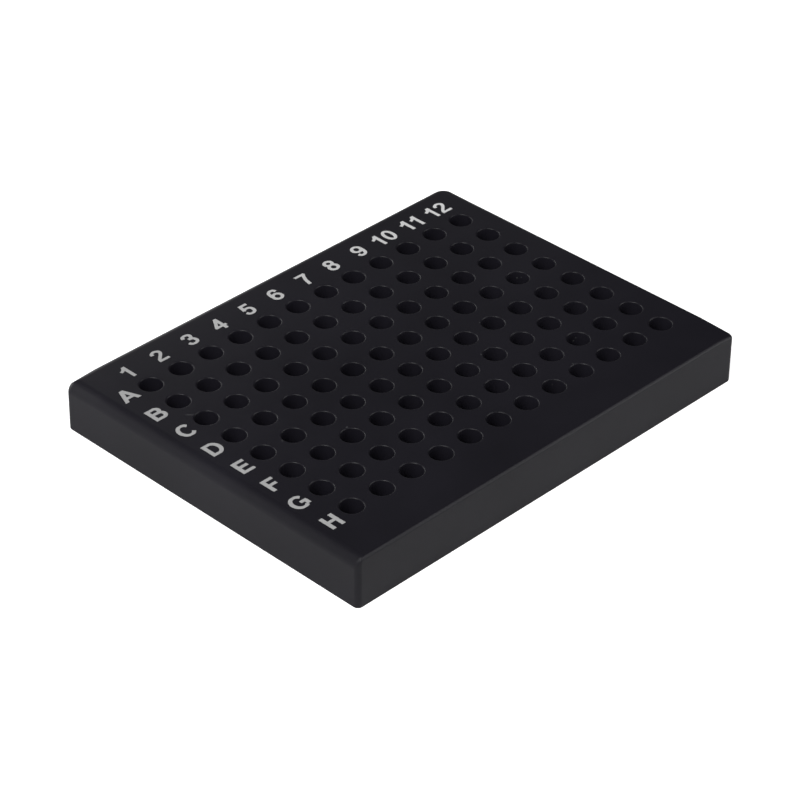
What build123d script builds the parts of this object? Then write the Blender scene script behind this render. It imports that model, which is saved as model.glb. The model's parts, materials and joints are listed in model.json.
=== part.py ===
from build123d import *
import os

# A microcentrifuge tube rack: one solid block with a grid of straight holes drilled through it for
# small tubes, in rows A, B, C ... and columns 1, 2, 3 ... A tapered tube comes to rest where its
# wall fills the mouth of a hole. The origin is under the middle of the block. +X runs along a row,
# away from column 1, +Y runs up a column, towards row A, and +Z is up.

# The grid of holes. All lengths are in millimetres.
columns = 12
rows = 8
pitch = 9.0  # from the axis of one hole to the next, along rows and columns alike
hole_diameter = 5.4

# The block around the grid. The two margins along X differ: the row letters stand at column 1.
first_column_margin = 12.55  # from the axes of column 1 to the end of the block
last_column_margin = 9.1  # from the axes of the last column to the other end
row_margin = 14.55  # from the axes of the first and last rows to the long sides
block_height = 12.7

# The eased edges of the block. Each vertical corner is rounded by its own amount, and is named
# after the hole nearest to it on a rack of 8 rows and 12 columns.
corner_round_a1 = 1.5
corner_round_a12 = 3.5
corner_round_h1 = 1.3
corner_round_h12 = 1.5
top_edge_round = 1.8
bottom_edge_chamfer = 0.3

# Sizes that follow from the ones above
block_length = first_column_margin + (columns - 1) * pitch + last_column_margin
block_width = (rows - 1) * pitch + 2 * row_margin
grid_center_x = (first_column_margin - last_column_margin) / 2

with BuildPart() as rack_block:
    # The block, from its outline with four rounded corners
    with BuildSketch():
        Rectangle(block_length, block_width)
        for x_side, y_side, corner_round in (
            (-1, 1, corner_round_a1),
            (1, 1, corner_round_a12),
            (-1, -1, corner_round_h1),
            (1, -1, corner_round_h12),
        ):
            corner = (x_side * block_length / 2, y_side * block_width / 2)
            fillet(vertices().sort_by_distance(corner)[0], corner_round)
    extrude(amount=block_height)
    fillet(faces().sort_by(Axis.Z)[-1].edges(), top_edge_round)
    chamfer(faces().sort_by(Axis.Z)[0].edges(), bottom_edge_chamfer)

    # The holes, drilled from the top right through the block
    with Locations((grid_center_x, 0, block_height)):
        with GridLocations(pitch, pitch, columns, rows):
            Hole(hole_diameter / 2)

rack_block.part.label = "rack_block"

os.makedirs("parts", exist_ok=True)
export_step(rack_block.part, "parts/rack_block.step")
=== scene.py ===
import json
from math import cos, hypot, pi, radians, sin

import bmesh
import bpy
from mathutils import Matrix, Vector
from mathutils.geometry import delaunay_2d_cdt


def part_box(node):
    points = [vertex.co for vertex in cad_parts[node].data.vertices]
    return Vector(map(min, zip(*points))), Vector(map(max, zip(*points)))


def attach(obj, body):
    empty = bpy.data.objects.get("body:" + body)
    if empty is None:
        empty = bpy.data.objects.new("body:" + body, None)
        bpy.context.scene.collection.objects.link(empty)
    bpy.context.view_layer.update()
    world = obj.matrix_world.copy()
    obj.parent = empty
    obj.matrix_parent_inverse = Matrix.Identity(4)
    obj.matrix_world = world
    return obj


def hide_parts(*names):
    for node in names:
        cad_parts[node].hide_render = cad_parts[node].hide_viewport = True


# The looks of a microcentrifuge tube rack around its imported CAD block, in metres. +X runs along the
# rows of holes, away from column 1, +Y towards row A, and +Z up. The block made here keeps the form
# of the CAD block, but the mouths of its holes are eased, its top edge is rounded differently on
# each side, and two of its top corners are worn. The printed numbers and letters lie on top, and
# there is a little dust.

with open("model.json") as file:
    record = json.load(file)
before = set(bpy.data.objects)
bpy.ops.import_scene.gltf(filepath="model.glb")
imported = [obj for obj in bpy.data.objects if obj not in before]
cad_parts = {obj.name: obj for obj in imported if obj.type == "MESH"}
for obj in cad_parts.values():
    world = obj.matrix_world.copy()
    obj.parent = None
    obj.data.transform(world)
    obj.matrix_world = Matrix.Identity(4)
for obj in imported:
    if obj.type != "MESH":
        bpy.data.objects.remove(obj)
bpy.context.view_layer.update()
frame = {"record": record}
block_low, block_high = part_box("rack_block")

MM = 0.001

# ------------------------------------------------------------------------------------------------
# What the frame says about the holes
# ------------------------------------------------------------------------------------------------
COLUMNS = 12
ROWS = 8

mounts = {mount["name"]: mount for mount in frame["record"]["mounts"]}
first_hole = mounts["hole_a1"]
last_hole = mounts["hole_h12"]
hole_radius = first_hole["dims"]["r_mm"] * MM
grid_left, grid_back = first_hole["pos_m"][:2]
grid_right, grid_front = last_hole["pos_m"][:2]
pitch = (grid_right - grid_left) / (COLUMNS - 1)

# ------------------------------------------------------------------------------------------------
# The block
# ------------------------------------------------------------------------------------------------
INK_THICKNESS = 0.02 * MM  # the block's top face lies this far under the top of the print
MOUTH_ROUND = 0.32 * MM  # radius of the eased mouth of a hole
TOP_EDGE_ROUNDS = {  # radii by side; the right one changes from the front corner to the back corner
    "left": 2.8 * MM,
    "right_front": 1.0 * MM,
    "right_back": 2.2 * MM,
    "front": 0.8 * MM,
    "back": 2.2 * MM,
}
BOTTOM_EDGE_ROUND = 0.15 * MM
CORNER_ROUNDS = {  # radii of the four vertical corners, by the hole nearest to each
    "a1": 1.5 * MM,
    "a12": 3.5 * MM,
    "h1": 1.3 * MM,
    "h12": 1.5 * MM,
}
SMALLEST_PLAN_ROUND = 0.2 * MM  # the least radius that a level line keeps at such a corner
WORN_CORNERS = {"a1": 0.85 * MM, "h12": 0.6 * MM}  # top corners that are worn down, and by how much
WORN_REACH = 5.0 * MM  # from such a corner to where the wear ends
HOLE_SEGMENTS = 48  # a multiple of 8, so that the cells around two holes meet point to point
CORNER_SEGMENTS = 12
MOUTH_RINGS = 5
TOP_EDGE_RINGS = 8
BOTTOM_EDGE_RINGS = 3
PAINTED_LIGHT_SLOT = 1  # number of the block's material for the walls of its holes, the lighter copy of the plastic that paints light into them
SAME_POINT = 0.001 * MM  # points nearer to each other than this are merged
FLAT_FACE_WEIGHT = 90  # how strongly large faces pull the shading of an edge towards their own

block_top = block_high.z - INK_THICKNESS
half_length = (block_high.x - block_low.x) / 2
half_width = (block_high.y - block_low.y) / 2
block_center = (block_low + block_high) / 2


def between(start, end, share):
    return start + (end - start) * share


def mesh_object(name, body):
    """A new object in the scene with the mesh of a bmesh, which is freed."""
    mesh = bpy.data.meshes.new(name)
    body.to_mesh(mesh)
    body.free()
    made = bpy.data.objects.new(name, mesh)
    bpy.context.scene.collection.objects.link(made)
    return made


class Draft:
    """Points and faces of a mesh that is still being put together."""

    def __init__(self):
        self.points = []
        self.faces = []
        self.drilled = []  # numbers of the faces that are walls of holes, which get the painted light

    def ring(self, points):
        """Adds points and returns their numbers."""
        start = len(self.points)
        self.points += points
        return list(range(start, start + len(points)))

    def bridge(self, ring_a, ring_b):
        """Joins two closed rings of as many points with quads."""
        for i in range(len(ring_a)):
            j = (i + 1) % len(ring_a)
            self.faces.append((ring_a[i], ring_a[j], ring_b[j], ring_b[i]))

    def chain(self, rings):
        """Joins each ring to the next one."""
        for ring_a, ring_b in zip(rings, rings[1:]):
            self.bridge(ring_a, ring_b)

    def build(self, name):
        """The finished object: doubled points merged, normals outwards, shaded smooth."""
        mesh = bpy.data.meshes.new(name)
        mesh.from_pydata(self.points, [], self.faces)
        for i in self.drilled:
            mesh.polygons[i].material_index = PAINTED_LIGHT_SLOT
        body = bmesh.new()
        body.from_mesh(mesh)
        bmesh.ops.remove_doubles(body, verts=body.verts, dist=SAME_POINT)
        bmesh.ops.recalc_face_normals(body, faces=body.faces)
        for face in body.faces:
            face.smooth = True
        body.to_mesh(mesh)
        body.free()
        made = bpy.data.objects.new(name, mesh)
        bpy.context.scene.collection.objects.link(made)
        return made


def add_hole(draft, center_x, center_y):
    """One hole, from the square cell of the top face around it to that of the underside."""
    angles = [2 * pi * i / HOLE_SEGMENTS for i in range(HOLE_SEGMENTS)]

    def circle(radius, z):
        return draft.ring(
            [(center_x + radius * cos(a), center_y + radius * sin(a), z) for a in angles]
        )

    def cell_border(z):
        reach = [pitch / 2 / max(abs(cos(a)), abs(sin(a))) for a in angles]
        return draft.ring(
            [(center_x + r * cos(a), center_y + r * sin(a), z) for r, a in zip(reach, angles)]
        )

    rings = [cell_border(block_top)]
    for i in range(MOUTH_RINGS + 1):
        turn = pi / 2 * i / MOUTH_RINGS
        rings.append(
            circle(
                hole_radius + MOUTH_ROUND * (1 - sin(turn)),
                block_top - MOUTH_ROUND * (1 - cos(turn)),
            )
        )
    draft.chain(rings)
    lower_end = circle(hole_radius, block_low.z)
    first_wall = len(draft.faces)
    draft.bridge(rings[-1], lower_end)
    draft.drilled += range(first_wall, len(draft.faces))
    draft.bridge(lower_end, cell_border(block_low.z))


def side_steps():
    """Where the borders of the cells cross one side of a cell, from -1/2 to 1/2 of the pitch."""
    per_side = HOLE_SEGMENTS // 4
    angles = [pi / 4 * (2 * i / per_side - 1) for i in range(per_side)]
    return [sin(a) / cos(a) / 2 for a in angles]


def outline(rounds, turn, z_flat, upwards):
    """One level line around the block, counter-clockwise from above, from the front left corner.

    The line lies on the rounded edges, whose radius is given for each side, at a turn of 0 where
    they meet the flat top or bottom at z_flat and of 90 degrees where they meet the sides. The
    round corners pass from the radius of one side to that of the next. Returns the points, and for
    each the point on the border of the outer cells that it stands opposite.
    """
    half_grid_x = COLUMNS * pitch / 2
    half_grid_y = ROWS * pitch / 2
    grid_x = (grid_left + grid_right) / 2
    grid_y = (grid_front + grid_back) / 2
    along_x = [
        (i + 0.5 - COLUMNS / 2 + s) * pitch for i in range(COLUMNS) for s in side_steps()
    ] + [half_grid_x]
    along_y = [
        (i + 0.5 - ROWS / 2 + s) * pitch for i in range(ROWS) for s in side_steps()
    ] + [half_grid_y]
    inset = {side: rounding * (1 - sin(turn)) for side, rounding in rounds.items()}
    depth = {side: rounding * (1 - cos(turn)) for side, rounding in rounds.items()}
    height = {side: z_flat - depth[side] if upwards else z_flat + depth[side] for side in rounds}
    points = []
    opposite = []

    def corner(name, side_x, side_y, start_turn):
        x_sign = -1 if side_x == "left" else 1
        y_sign = 1 if side_y == "back" else -1
        round_x = max(CORNER_ROUNDS[name] - inset[side_x], SMALLEST_PLAN_ROUND)
        round_y = max(CORNER_ROUNDS[name] - inset[side_y], SMALLEST_PLAN_ROUND)
        middle_x = block_center.x + x_sign * (half_length - inset[side_x] - round_x)
        middle_y = block_center.y + y_sign * (half_width - inset[side_y] - round_y)
        for i in range(CORNER_SEGMENTS + 1):
            around = start_turn + pi / 2 * i / CORNER_SEGMENTS
            share = sin(around) ** 2  # 1 where the corner meets a long side, 0 at a short one
            z = between(height[side_x], height[side_y], share)
            points.append((middle_x + round_x * cos(around), middle_y + round_y * sin(around), z))
            opposite.append((grid_x + x_sign * half_grid_x, grid_y + y_sign * half_grid_y))

    corner("h1", "left", "front", pi)
    for x in along_x:
        points.append((grid_x + x, block_low.y + inset["front"], height["front"]))
        opposite.append((grid_x + x, grid_y - half_grid_y))
    corner("h12", "right_front", "front", -pi / 2)
    for y in along_y:
        share = (y + half_grid_y) / (2 * half_grid_y)
        x = block_high.x - between(inset["right_front"], inset["right_back"], share)
        z = between(height["right_front"], height["right_back"], share)
        points.append((x, grid_y + y, z))
        opposite.append((grid_x + half_grid_x, grid_y + y))
    corner("a12", "right_back", "back", 0)
    for x in reversed(along_x):
        points.append((grid_x + x, block_high.y - inset["back"], height["back"]))
        opposite.append((grid_x + x, grid_y + half_grid_y))
    corner("a1", "left", "back", pi / 2)
    for y in reversed(along_y):
        points.append((block_low.x + inset["left"], grid_y + y, height["left"]))
        opposite.append((grid_x - half_grid_x, grid_y + y))
    return points, opposite


def worn(points):
    """The points of a level line, lower where they lie near the worn top corners."""
    corners = {"a1": (block_low.x, block_high.y), "h12": (block_high.x, block_low.y)}
    lowered = []
    for x, y, z in points:
        for name, depth in WORN_CORNERS.items():
            nearness = 1 - hypot(x - corners[name][0], y - corners[name][1]) / WORN_REACH
            z -= depth * max(nearness, 0) ** 2
        lowered.append((x, y, z))
    return lowered


def add_margin(draft, edge, opposite, z):
    """The flat margin between the cells of the outer holes and a level line around the block."""
    inner = draft.ring([(x, y, z) for x, y in opposite])
    for i in range(len(inner)):
        j = (i + 1) % len(inner)
        face = [edge[i], edge[j], inner[j]]
        if opposite[i] != opposite[j]:
            face.append(inner[i])
        draft.faces.append(tuple(face))


def make_block():
    draft = Draft()
    for column in range(COLUMNS):
        for row in range(ROWS):
            add_hole(draft, grid_left + column * pitch, grid_back - row * pitch)
    bottom_edge_rounds = {side: BOTTOM_EDGE_ROUND for side in TOP_EDGE_ROUNDS}
    rings = []
    for i in range(TOP_EDGE_RINGS + 1):
        level, opposite = outline(TOP_EDGE_ROUNDS, pi / 2 * i / TOP_EDGE_RINGS, block_top, True)
        rings.append(draft.ring(worn(level)))
    for i in reversed(range(BOTTOM_EDGE_RINGS + 1)):
        turn = pi / 2 * i / BOTTOM_EDGE_RINGS
        level, opposite = outline(bottom_edge_rounds, turn, block_low.z, False)
        rings.append(draft.ring(level))
    draft.chain(rings)
    add_margin(draft, rings[0], opposite, block_top)
    add_margin(draft, rings[-1], opposite, block_low.z)
    block = draft.build("block")
    shading = block.modifiers.new("flat faces stay flat", "WEIGHTED_NORMAL")
    shading.weight = FLAT_FACE_WEIGHT
    shading.keep_sharp = True
    return block


# ------------------------------------------------------------------------------------------------
# The printed numbers and letters
# ------------------------------------------------------------------------------------------------
# Each character is a few strokes on a cap height of 1. A stroke is a list of points on its middle
# line: two points are a straight bar, and more are joined by a smooth curve. A closed stroke ends
# where it starts. What a stroke has above 1 or below 0 is cut off level.
CAP_HEIGHT = 4.5 * MM
DIGIT_WEIGHTS = (0.195, 0.16)  # widths of a stroke, where it runs up and where it runs level
LETTER_WEIGHTS = (0.225, 0.185)
CURVE_STEPS = 8
CHARACTER_GAP = 0.25  # between the two characters of a number
JOINING_PRECISION = 1e-5  # of the crossings of strokes

TOP = 1 - LETTER_WEIGHTS[1] / 2  # middle lines of a letter's level bars at the top and the bottom
BASE = LETTER_WEIGHTS[1] / 2
STEM = LETTER_WEIGHTS[0] / 2  # middle line of a letter's stem at the left


def oval(center_x, center_y, reach_x, reach_y, start=0, end=360, steps=12):
    """Points on an oval, from one angle to another in degrees, counter-clockwise from the right."""
    angles = [radians(start + (end - start) * i / steps) for i in range(steps + 1)]
    return [(center_x + reach_x * cos(a), center_y + reach_y * sin(a)) for a in angles]


CHARACTERS = {
    "0": [oval(0.34, 0.5, 0.245, 0.42, 0, 180), oval(0.34, 0.5, 0.245, 0.42, 180, 360)],
    "1": [[(0.345, -0.1), (0.345, 1.1)], [(-0.01, 0.665), (0.12, 0.71), (0.24, 0.80), (0.36, 1.0)]],
    "2": [
        [(0.10, 0.69), (0.13, 0.83), (0.33, 0.92), (0.53, 0.83), (0.55, 0.67), (0.44, 0.51)]
        + [(0.28, 0.36), (0.15, 0.22), (0.10, 0.06)],
        [(0.02, 0.085), (0.67, 0.085)],
    ],
    "3": [
        [(0.09, 0.72), (0.15, 0.87), (0.33, 0.92), (0.51, 0.86), (0.54, 0.73), (0.46, 0.58)]
        + [(0.27, 0.54)],
        [(0.27, 0.54), (0.50, 0.49), (0.58, 0.30), (0.52, 0.14), (0.33, 0.08), (0.15, 0.13)]
        + [(0.08, 0.28)],
    ],
    "4": [[(0.515, -0.1), (0.515, 1.1)], [(0.0, 0.295), (0.72, 0.295)], [(0.04, 0.24), (0.53, 0.99)]],
    "5": [
        [(0.14, 0.915), (0.62, 0.915)],
        [(0.125, 0.47), (0.205, 0.99)],
        [(0.09, 0.485), (0.18, 0.56), (0.36, 0.59), (0.53, 0.52), (0.58, 0.34), (0.52, 0.15)]
        + [(0.33, 0.08), (0.15, 0.13), (0.08, 0.28)],
    ],
    "6": [
        oval(0.345, 0.32, 0.25, 0.24, 0, 180),
        oval(0.345, 0.32, 0.25, 0.24, 180, 360),
        [(0.095, 0.34), (0.10, 0.60), (0.17, 0.83), (0.36, 0.92), (0.52, 0.87), (0.585, 0.73)],
    ],
    "7": [
        [(0.0, 0.915), (0.66, 0.915)],
        [(0.62, 0.94), (0.47, 0.72), (0.35, 0.45), (0.275, 0.15), (0.26, -0.1)],
    ],
    "8": [
        oval(0.34, 0.73, 0.225, 0.19, 0, 180),
        oval(0.34, 0.73, 0.225, 0.19, 180, 360),
        oval(0.34, 0.31, 0.25, 0.23, 0, 180),
        oval(0.34, 0.31, 0.25, 0.23, 180, 360),
    ],
    "A": [[(0.07, -0.1), (0.54, 1.1)], [(0.93, -0.1), (0.46, 1.1)], [(0.2, 0.30), (0.8, 0.30)]],
    "B": [
        [(STEM, -0.1), (STEM, 1.1)],
        [(STEM, TOP), (0.46, TOP)],
        [(STEM, 0.54), (0.50, 0.54)],
        [(STEM, BASE), (0.50, BASE)],
        oval(0.46, 0.73, 0.235, 0.19, 90, -90),
        oval(0.50, 0.31, 0.245, 0.23, 90, -90),
    ],
    "C": [oval(0.46, 0.5, 0.365, 0.43, 38, 322, 18)],
    "D": [
        [(STEM, -0.1), (STEM, 1.1)],
        [(STEM, TOP), (0.40, TOP)],
        [(STEM, BASE), (0.40, BASE)],
        oval(0.40, 0.5, 0.365, 0.42, 90, -90),
    ],
    "E": [
        [(STEM, -0.1), (STEM, 1.1)],
        [(STEM, TOP), (0.745, TOP)],
        [(STEM, 0.52), (0.69, 0.52)],
        [(STEM, BASE), (0.77, BASE)],
    ],
    "F": [[(STEM, -0.1), (STEM, 1.1)], [(STEM, TOP), (0.71, TOP)], [(STEM, 0.5), (0.63, 0.5)]],
    "G": [
        oval(0.48, 0.5, 0.385, 0.43, 38, 310, 18),
        [(0.53, 0.46), (0.94, 0.46)],
        [(0.845, 0.15), (0.845, 0.46)],
    ],
    "H": [
        [(STEM, -0.1), (STEM, 1.1)],
        [(0.80 - STEM, -0.1), (0.80 - STEM, 1.1)],
        [(STEM, 0.53), (0.80 - STEM, 0.53)],
    ],
}
CHARACTERS["9"] = [[(0.69 - x, 1 - y) for x, y in stroke] for stroke in CHARACTERS["6"]]


def smooth_line(points):
    """The points of a smooth curve through the given ones, or the two ends of a bar."""
    if len(points) == 2:
        return [Vector(p) for p in points]
    ends = [Vector(p) for p in points]
    ends = [2 * ends[0] - ends[1]] + ends + [2 * ends[-1] - ends[-2]]
    line = []
    for a, b, c, d in zip(ends, ends[1:], ends[2:], ends[3:]):
        for i in range(CURVE_STEPS):
            t = i / CURVE_STEPS
            line.append(
                0.5 * (2 * b + (c - a) * t + (2 * a - 5 * b + 4 * c - d) * t * t
                       + (3 * b - a - 3 * c + d) * t * t * t)
            )
    return line + [ends[-2]]


def stroke_outline(points, upright_weight, level_weight):
    """The closed outline of one stroke, wider where it runs up than where it runs level."""
    line = smooth_line(points)
    left = []
    right = []
    for i, here in enumerate(line):
        along = (line[min(i + 1, len(line) - 1)] - line[max(i - 1, 0)]).normalized()
        weight = level_weight + (upright_weight - level_weight) * along.y * along.y
        across = Vector((-along.y, along.x)) * weight / 2
        left.append(here + across)
        right.append(here - across)
    return cut_level(cut_level(right + left[::-1], 0, 1), 1, -1)


def cut_level(points, height, side):
    """The part of a closed outline above a height, or below it where side is -1."""
    kept = []
    for a, b in zip(points, points[1:] + points[:1]):
        above_a = (a.y - height) * side
        above_b = (b.y - height) * side
        if above_a >= 0:
            kept.append(a)
        if above_a * above_b < 0:
            kept.append(a.lerp(b, above_a / (above_a - above_b)))
    return kept


def character_faces(character):
    """Points and triangles of one character, with its overlapping strokes joined into one shape."""
    weights = LETTER_WEIGHTS if character.isalpha() else DIGIT_WEIGHTS
    coords = []
    outlines = []
    for stroke in CHARACTERS[character]:
        closed = stroke_outline(stroke, *weights)
        outlines.append(list(range(len(coords), len(coords) + len(closed))))
        coords += closed
    points, _, faces, _, _, sources = delaunay_2d_cdt(
        coords, [], outlines, 1, JOINING_PRECISION
    )
    kept = [face for face, source in zip(faces, sources) if source]
    used = [points[i] for face in kept for i in face]
    return points, kept, min(p.x for p in used), max(p.x for p in used)


def add_label(body, text, center_x, center_y):
    """Adds one printed label to a mesh, centred on a point of the top face."""
    placed = []
    width = 0
    for character in text:
        points, faces, left, right = character_faces(character)
        placed.append((points, faces, width - left))
        width += right - left + CHARACTER_GAP
    width -= CHARACTER_GAP
    for points, faces, shift in placed:
        verts = {}
        for face in faces:
            for i in face:
                if i not in verts:
                    x = center_x + (points[i].x + shift - width / 2) * CAP_HEIGHT
                    y = center_y + (points[i].y - 0.5) * CAP_HEIGHT
                    verts[i] = body.verts.new((x, y, block_high.z))
            body.faces.new([verts[i] for i in face])


def make_print(name, labels):
    """A thin layer of ink with all the given labels, each a text and the place of its middle."""
    body = bmesh.new()
    for text, x, y in labels:
        add_label(body, text, x, y)
    bmesh.ops.recalc_face_normals(body, faces=body.faces)
    for face in body.faces:
        if face.normal.z < 0:
            face.normal_flip()
    extruded = bmesh.ops.extrude_face_region(body, geom=list(body.faces))
    lower = [e for e in extruded["geom"] if isinstance(e, bmesh.types.BMVert)]
    bmesh.ops.translate(body, verts=lower, vec=(0, 0, -INK_THICKNESS))
    bmesh.ops.recalc_face_normals(body, faces=body.faces)
    return mesh_object(name, body)


NUMBERS_ABOVE_ROW_A = 7.2 * MM
LETTERS_BEFORE_COLUMN_1 = 6.65 * MM
# The labels aren't quite in line with the holes. How far each one is off, in millimetres:
NUMBER_SHIFTS_X = (-0.8, -0.2, 0.15, -0.2, -0.1, -0.3, 0.2, -0.3, -0.2, -0.7, -0.65, -0.7)
LETTER_SHIFTS_X = (0, 0, 0, 0, 0, 0, -0.5, -0.1)
LETTER_SHIFTS_Y = (0.4, -0.45, -0.5, -0.7, -0.8, -0.8, -0.45, -1.0)


def make_column_numbers():
    y = grid_back + NUMBERS_ABOVE_ROW_A
    labels = []
    for i in range(COLUMNS):
        labels.append((str(i + 1), grid_left + i * pitch + NUMBER_SHIFTS_X[i] * MM, y))
    return make_print("column_numbers", labels)


def make_row_letters():
    labels = []
    for i in range(ROWS):
        x = grid_left - LETTERS_BEFORE_COLUMN_1 + LETTER_SHIFTS_X[i] * MM
        y = grid_back - i * pitch + LETTER_SHIFTS_Y[i] * MM
        labels.append(("ABCDEFGH"[i], x, y))
    return make_print("row_letters", labels)


# ------------------------------------------------------------------------------------------------
# Dust and a scuff
# ------------------------------------------------------------------------------------------------
FLAKE_SMOOTHNESS = 2  # how often the flakes' round form is subdivided
FLAKE_THICKNESS = 0.06 * MM
SCUFF_THICKNESS = 0.016 * MM  # thinner than the ink, so that nothing stands above the print
# Specks on the walls of holes: the hole, degrees around its axis from +X, and depth and size in mm
WALL_SPECKS = (
    ("hole_d11", 45, 1.8, 0.45),
    ("hole_d11", 24, 1.5, 0.25),
    ("hole_g10", 52, 1.6, 0.35),
    ("hole_g10", 63, 2.3, 0.40),
    ("hole_h8", 50, 1.4, 0.20),
)
# Specks and a short scuff on the top face: the hole nearest to it, millimetres from its axis along
# +X and +Y, degrees that its length is turned, length and width in mm
TOP_FLAKES = (
    ("hole_e9", -2.1, 2.2, 100, 0.45, 0.25),
    ("hole_f8", -2.3, 2.0, 110, 0.50, 0.25),
    ("hole_h9", 0.6, 3.1, 20, 0.40, 0.25),
    ("hole_f3", 1.3, 3.0, 0, 0.60, 0.35),
    ("hole_e2", -3.2, 0.1, 30, 0.50, 0.35),
    ("hole_c1", -1.8, 3.3, -43, 2.10, 0.30),
)


def add_flake(body, middle, turn, length, width, thickness):
    shape = Matrix.Translation(middle) @ turn @ Matrix.Diagonal((length, width, thickness, 1))
    bmesh.ops.create_icosphere(body, subdivisions=FLAKE_SMOOTHNESS, radius=0.5, matrix=shape)


def make_dust():
    body = bmesh.new()
    for name, degrees, depth, size in WALL_SPECKS:
        x, y = mounts[name]["pos_m"][:2]
        outwards = Vector((cos(radians(degrees)), sin(radians(degrees)), 0))
        middle = Vector((x, y, block_top - depth * MM)) + outwards * hole_radius
        flat_on_wall = outwards.to_track_quat("Z", "Y").to_matrix().to_4x4()
        add_flake(body, middle, flat_on_wall, size * MM, size * MM, FLAKE_THICKNESS)
    for name, along_x, along_y, degrees, length, width in TOP_FLAKES:
        x, y = mounts[name]["pos_m"][:2]
        middle = Vector((x + along_x * MM, y + along_y * MM, block_top))
        turn = Matrix.Rotation(radians(degrees), 4, "Z")
        add_flake(body, middle, turn, length * MM, width * MM, SCUFF_THICKNESS)
    for face in body.faces:
        face.smooth = True
    return mesh_object("dust", body)


# ------------------------------------------------------------------------------------------------
# Materials
# ------------------------------------------------------------------------------------------------
PLASTIC_DARK = (0.0068, 0.0063, 0.0092)
PLASTIC_LIGHT = (0.0155, 0.0144, 0.0202)
PLASTIC_CLOUD_SCALE = 45
PLASTIC_ROUGHNESS = (0.34, 0.46)  # least and most, by its grain
PLASTIC_SPECULAR = 0.25
BUMP_STRENGTH = 0.15
BUMP_HEIGHT = 0.02 * MM
HOLE_WALL_PAINTED_LIGHT = 1.35  # painted light: how much lighter the walls of the holes are painted than the other faces
INK_AT_FIRST_COLUMN = 0.44  # how light the ink is at column 1
INK_AT_LAST_COLUMN = 0.79  # and at the last column
INK_WEAR_SCALE = 2500
INK_WEAR = (0.90, 1.10)  # least and most that wear multiplies the ink's lightness by
INK_ROUGHNESS = 0.6
DUST_DARK = (0.030, 0.030, 0.033, 1)
DUST_LIGHT = (0.060, 0.060, 0.065, 1)
DUST_ROUGHNESS = 0.9
GRAIN_SCALE = 4000  # of the plastic and of the dust
PAPER_WHITE = (0.8, 0.8, 0.8, 1)


def new_material(name):
    material = bpy.data.materials.new(name)
    material.use_nodes = True
    tree = material.node_tree
    return material, tree, tree.nodes["Principled BSDF"]


def noise(tree, scale, detail, where):
    node = tree.nodes.new("ShaderNodeTexNoise")
    node.inputs["Scale"].default_value = scale
    node.inputs["Detail"].default_value = detail
    tree.links.new(where, node.inputs["Vector"])
    return node.outputs["Fac"]


def spread(tree, value, low, high):
    """A value that runs from 0 to 1, unless the caller changes that, moved to a new range."""
    node = tree.nodes.new("ShaderNodeMapRange")
    node.inputs["To Min"].default_value = low
    node.inputs["To Max"].default_value = high
    tree.links.new(value, node.inputs["Value"])
    return node.outputs["Result"]


def plastic_material(name, lightness):
    """Bluish black plastic, uneven on a scale of centimetres and finely grained; a lightness above 1
    is painted light.
    """
    material, tree, shader = new_material(name)
    where = tree.nodes.new("ShaderNodeTexCoord").outputs["Object"]
    cloud = noise(tree, PLASTIC_CLOUD_SCALE, 3, where)
    grain = noise(tree, GRAIN_SCALE, 2, where)
    tint = tree.nodes.new("ShaderNodeMix")
    tint.data_type = "RGBA"
    tint.inputs["A"].default_value = [c * lightness for c in PLASTIC_DARK] + [1]
    tint.inputs["B"].default_value = [c * lightness for c in PLASTIC_LIGHT] + [1]
    tree.links.new(cloud, tint.inputs["Factor"])
    tree.links.new(tint.outputs["Result"], shader.inputs["Base Color"])
    tree.links.new(spread(tree, grain, *PLASTIC_ROUGHNESS), shader.inputs["Roughness"])
    shader.inputs["Specular IOR Level"].default_value = PLASTIC_SPECULAR
    bump = tree.nodes.new("ShaderNodeBump")
    bump.inputs["Strength"].default_value = BUMP_STRENGTH
    bump.inputs["Distance"].default_value = BUMP_HEIGHT
    tree.links.new(grain, bump.inputs["Height"])
    tree.links.new(bump.outputs["Normal"], shader.inputs["Normal"])
    return material


def ink_material():
    """Light grey print, a little worn, that is darker and darker from column 12 to column 1."""
    material, tree, shader = new_material("light grey ink")
    where = tree.nodes.new("ShaderNodeTexCoord").outputs["Object"]
    wear = noise(tree, INK_WEAR_SCALE, 2, where)
    axes = tree.nodes.new("ShaderNodeSeparateXYZ")
    tree.links.new(where, axes.inputs["Vector"])
    lightness_by_column = spread(tree, axes.outputs["X"], INK_AT_FIRST_COLUMN, INK_AT_LAST_COLUMN)
    lightness_by_column.node.inputs["From Min"].default_value = grid_left
    lightness_by_column.node.inputs["From Max"].default_value = grid_right
    grey = tree.nodes.new("ShaderNodeMath")
    grey.operation = "MULTIPLY"
    tree.links.new(lightness_by_column, grey.inputs[0])
    tree.links.new(spread(tree, wear, *INK_WEAR), grey.inputs[1])
    color = tree.nodes.new("ShaderNodeCombineColor")
    for channel in ("Red", "Green", "Blue"):
        tree.links.new(grey.outputs["Value"], color.inputs[channel])
    tree.links.new(color.outputs["Color"], shader.inputs["Base Color"])
    shader.inputs["Roughness"].default_value = INK_ROUGHNESS
    return material


def dust_material():
    material, tree, shader = new_material("dust")
    where = tree.nodes.new("ShaderNodeTexCoord").outputs["Object"]
    tint = tree.nodes.new("ShaderNodeMix")
    tint.data_type = "RGBA"
    tint.inputs["A"].default_value = DUST_DARK
    tint.inputs["B"].default_value = DUST_LIGHT
    tree.links.new(noise(tree, GRAIN_SCALE, 2, where), tint.inputs["Factor"])
    tree.links.new(tint.outputs["Result"], shader.inputs["Base Color"])
    shader.inputs["Roughness"].default_value = DUST_ROUGHNESS
    return material


def camera_ray(tree):
    """1 on the rays on which the camera itself sees a surface or the world, and 0 on all others."""
    path = tree.nodes.new("ShaderNodeLightPath")
    return path.outputs["Is Camera Ray"]


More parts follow.
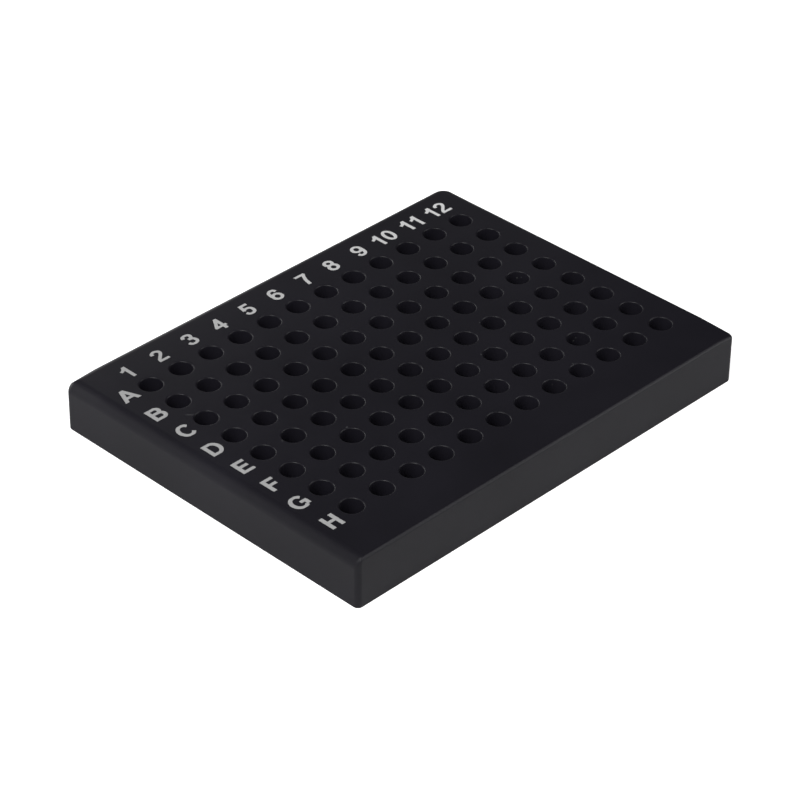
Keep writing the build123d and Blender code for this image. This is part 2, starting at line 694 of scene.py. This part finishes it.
def paper_material(name):
    material, tree, shader = new_material(name)
    shader.inputs["Base Color"].default_value = PAPER_WHITE
    shader.inputs["Roughness"].default_value = 1.0
    return material, tree, shader


def floor_material():
    """Plain white paper to the light, and brighter to the camera, where shadows stay visible."""
    material, tree, shader = paper_material("white floor")
    glow = tree.nodes.new("ShaderNodeEmission")
    seen = spread(tree, camera_ray(tree), 0, BACKGROUND_SEEN)
    tree.links.new(seen, glow.inputs["Strength"])
    both = tree.nodes.new("ShaderNodeAddShader")
    tree.links.new(shader.outputs["BSDF"], both.inputs[0])
    tree.links.new(glow.outputs["Emission"], both.inputs[1])
    out = tree.nodes["Material Output"]
    tree.links.new(both.outputs["Shader"], out.inputs["Surface"])
    return material


# ------------------------------------------------------------------------------------------------
# Floor, light and camera
# ------------------------------------------------------------------------------------------------
FLOOR_SIZE = 6.0
UNDER_BLOCK_SLOT = 1  # number of the floor's material right under the block
SHADE_INSET = 3 * MM  # from the block's sides to the part of the floor that is dark below it
BACKGROUND_SEEN = 0.80  # what the camera sees of the floor and the world without any light
# By name: azimuth and elevation in degrees, where azimuth 0 stands in front, at -Y, then distance
# from the block's middle and size in metres, and power in watts
LIGHTS = {
    "key softbox": (-75, 50, 0.70, 0.40, 3.1),
    "low left softbox": (-75, 30, 0.70, 0.40, 0.78),
    "left end softbox": (-135, 10, 0.70, 0.40, 0.30),
    "right softbox": (45, 10, 0.70, 0.40, 1.40),
    "high right softbox": (45, 50, 0.70, 0.40, 1.15),
    "back left softbox": (-165, 10, 0.70, 0.40, 1.70),
    "low back light": (165, 10, 0.28, 0.16, 0.085),
    "low back right light": (135, 10, 0.28, 0.16, 0.020),
}
LENS = 142.86  # in millimetres, as is the sensor's width
SENSOR = 36.0
CAMERA_AZIMUTH = -45.841
CAMERA_ELEVATION = 34.734
CAMERA_ROLL = 0.753
CAMERA_DISTANCE = 708.36 * MM
CAMERA_TARGET = Vector((-6.335, -4.973, 6.35)) * MM


def direction(azimuth, elevation):
    a = radians(azimuth)
    e = radians(elevation)
    return Vector((sin(a) * cos(e), -cos(a) * cos(e), sin(e)))


def make_floor():
    """A wide floor, whose part right under the block has no glow, as the light leaves it dark."""
    points = []
    for reach_x, reach_y in (
        (FLOOR_SIZE / 2, FLOOR_SIZE / 2),
        (half_length - SHADE_INSET, half_width - SHADE_INSET),
    ):
        for x_sign, y_sign in ((-1, -1), (1, -1), (1, 1), (-1, 1)):
            x = block_center.x + x_sign * reach_x
            y = block_center.y + y_sign * reach_y
            points.append((x, y, block_low.z))
    faces = [(0, 1, 5, 4), (1, 2, 6, 5), (2, 3, 7, 6), (3, 0, 4, 7), (4, 5, 6, 7)]
    mesh = bpy.data.meshes.new("floor")
    mesh.from_pydata(points, [], faces)
    mesh.materials.append(floor_material())
    mesh.materials.append(paper_material("white floor under the block")[0])
    mesh.polygons[-1].material_index = UNDER_BLOCK_SLOT
    floor = bpy.data.objects.new("floor", mesh)
    bpy.context.scene.collection.objects.link(floor)


def make_world():
    world = bpy.data.worlds.new("studio")
    world.use_nodes = True
    tree = world.node_tree
    background = tree.nodes["Background"]
    background.inputs["Color"].default_value = (1, 1, 1, 1)
    seen = spread(tree, camera_ray(tree), 0, BACKGROUND_SEEN)
    tree.links.new(seen, background.inputs["Strength"])
    bpy.context.scene.world = world


def make_lights():
    for name, (azimuth, elevation, distance, size, power) in LIGHTS.items():
        data = bpy.data.lights.new(name, "AREA")
        data.size = size
        data.energy = power
        light = bpy.data.objects.new(name, data)
        back = direction(azimuth, elevation)
        light.location = block_center + back * distance
        light.rotation_euler = (-back).to_track_quat("-Z", "Y").to_euler()
        bpy.context.scene.collection.objects.link(light)


def make_camera():
    data = bpy.data.cameras.new("camera")
    data.sensor_width = SENSOR
    data.lens = LENS
    camera = bpy.data.objects.new("camera", data)
    back = direction(CAMERA_AZIMUTH, CAMERA_ELEVATION)
    camera.location = CAMERA_TARGET + back * CAMERA_DISTANCE
    level = (-back).to_track_quat("-Z", "Y").to_matrix()
    roll = Matrix.Rotation(radians(CAMERA_ROLL), 3, "Z")
    camera.rotation_euler = (level @ roll).to_euler()
    bpy.context.scene.collection.objects.link(camera)
    bpy.context.scene.camera = camera


# ------------------------------------------------------------------------------------------------
# Putting it together
# ------------------------------------------------------------------------------------------------
block = make_block()
block.data.materials.append(plastic_material("bluish black plastic", 1))
# The walls of the holes get a lighter copy of the plastic: painted light where light reaches into
# them.
block.data.materials.append(plastic_material("plastic with painted light in the holes", HOLE_WALL_PAINTED_LIGHT))
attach(block, "root")
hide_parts("rack_block")

ink = ink_material()
for marks in (make_column_numbers(), make_row_letters()):
    marks.data.materials.append(ink)
    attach(marks, "root")

dust = make_dust()
dust.data.materials.append(dust_material())
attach(dust, "root")

make_floor()
make_world()
make_lights()
make_camera()
bpy.context.scene.view_settings.view_transform = "Standard"
